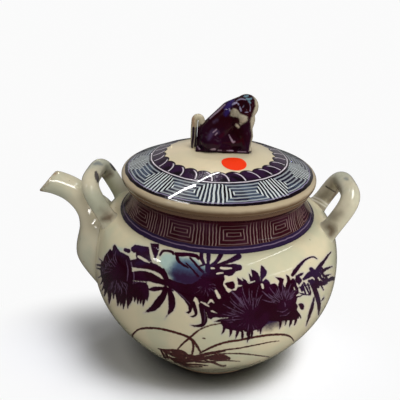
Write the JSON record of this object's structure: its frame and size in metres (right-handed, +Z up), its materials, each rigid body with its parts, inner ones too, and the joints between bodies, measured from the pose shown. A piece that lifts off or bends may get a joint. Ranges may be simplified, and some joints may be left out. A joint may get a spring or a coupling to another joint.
{
  "type": "teapot",
  "caption": "Round-bodied porcelain teapot with a lift-off domed lid, seated lion finial, hollow curved spout and arched lugs for a bail handle.",
  "frame": {"origin": "centre of the foot ring on the table plane, on the pot's axis", "axes": "+Z up along the pot's axis; the spout points to -X, the rear lug to +X"},
  "size_m": [0.2091, 0.1658, 0.183],
  "materials": {
    "porcelain": "cream-grey glazed porcelain with brushed cobalt painting",
    "painted_porcelain": "glazed porcelain painted with cobalt fret bands",
    "cobalt_porcelain": "dark cobalt glazed porcelain",
    "dot_paper": "matt orange paper"
  },
  "bodies": {
    "pot": {"lower_bowl": "porcelain", "shoulder": "porcelain", "neck_collar": "painted_porcelain", "spout": "porcelain", "front_lug": "porcelain", "rear_lug": "porcelain"},
    "lid": {"lid_plate": "painted_porcelain", "lid_flange": "porcelain", "paper_dot": "dot_paper", "lion_body": "cobalt_porcelain", "lion_head": "cobalt_porcelain", "lion_tail": "porcelain"}
  },
  "joints": [
    {"name": "lid_lift", "type": "slide", "parent": "pot", "child": "lid", "axis": [0, 0, 1], "range_m": [0, 0.08]}
  ]
}
